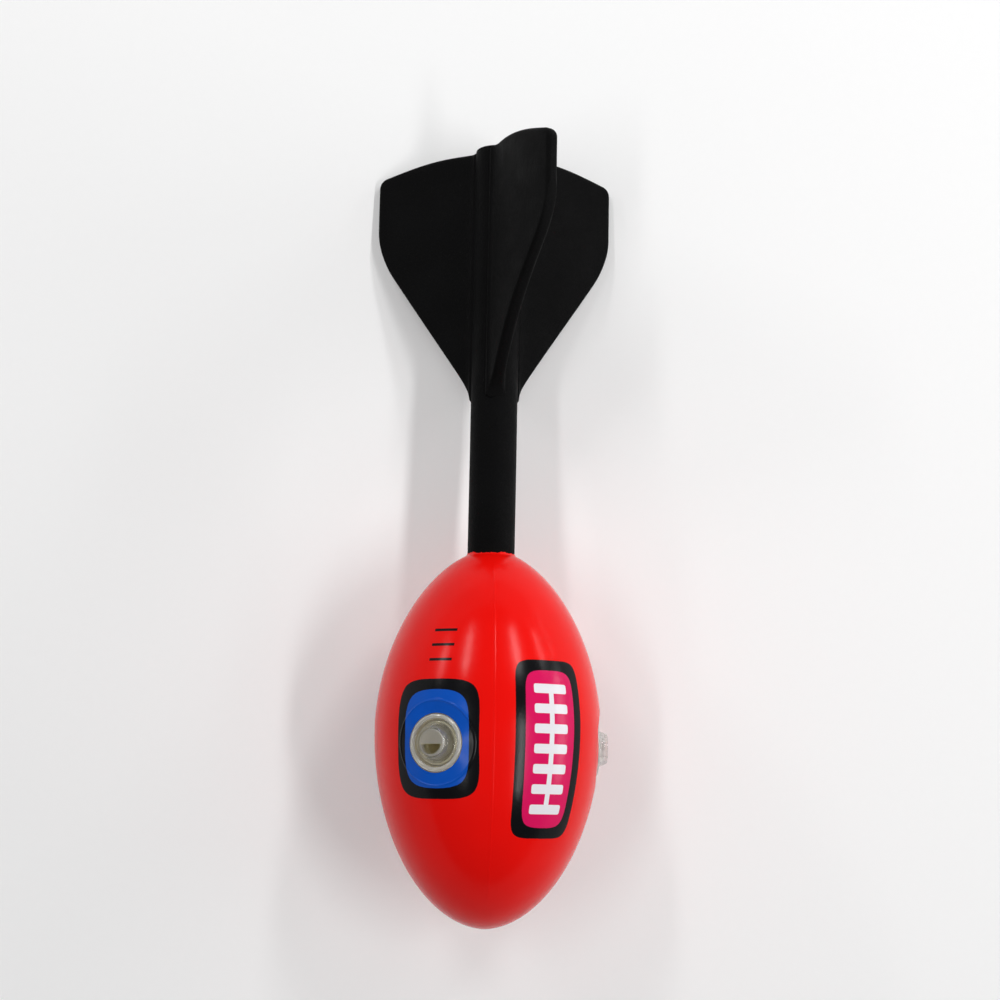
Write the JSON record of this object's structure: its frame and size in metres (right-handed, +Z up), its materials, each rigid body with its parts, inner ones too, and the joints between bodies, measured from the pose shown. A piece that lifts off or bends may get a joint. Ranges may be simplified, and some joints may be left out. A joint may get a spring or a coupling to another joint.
{
  "type": "whistling foam throwing toy",
  "caption": "Football-shaped foam head with whistles let into its sides, on a round foam stem with flexible foam fins; thrown by hand.",
  "frame": {"origin": "middle of the bottom of the toy's box, on the surface that it rests on", "axes": "+Z up; +Y from the nose to the tail, level; +X to the right seen from above with the tail away; the toy's own axis drops 3.86 degrees toward the tail"},
  "size_m": [0.0932, 0.3, 0.0854],
  "materials": {
    "red_foam": "satin self-skinned polyurethane foam",
    "black_foam": "matte self-skinned polyurethane foam",
    "clear_plastic": "clear gloss polystyrene"
  },
  "bodies": {
    "head_and_stem": {"foam_head": "red_foam", "tail_stem": "black_foam", "whistle_cup_1": "clear_plastic", "whistle_cap_1": "clear_plastic", "whistle_cup_2": "clear_plastic", "whistle_cap_2": "clear_plastic", "whistle_cup_3": "clear_plastic", "whistle_cap_3": "clear_plastic"},
    "fin_top_blade": {"fin_top": "black_foam"},
    "fin_right_blade": {"fin_right": "black_foam"},
    "fin_left_blade": {"fin_left": "black_foam"}
  },
  "joints": [
    {"name": "fin_top_flex", "type": "hinge", "parent": "head_and_stem", "child": "fin_top_blade", "pos_m": [0, 0.1009, 0.03917], "axis": [0, 0.9977, -0.0673], "range_deg": [-25, 25], "stiffness_Nm_per_rad": 0.08},
    {"name": "fin_right_flex", "type": "hinge", "parent": "head_and_stem", "child": "fin_right_blade", "pos_m": [0.00736, 0.10005, 0.02645], "axis": [0, 0.9977, -0.0673], "range_deg": [-25, 25], "stiffness_Nm_per_rad": 0.08},
    {"name": "fin_left_flex", "type": "hinge", "parent": "head_and_stem", "child": "fin_left_blade", "pos_m": [-0.00736, 0.10005, 0.02645], "axis": [0, 0.9977, -0.0673], "range_deg": [-25, 25], "stiffness_Nm_per_rad": 0.08}
  ]
}
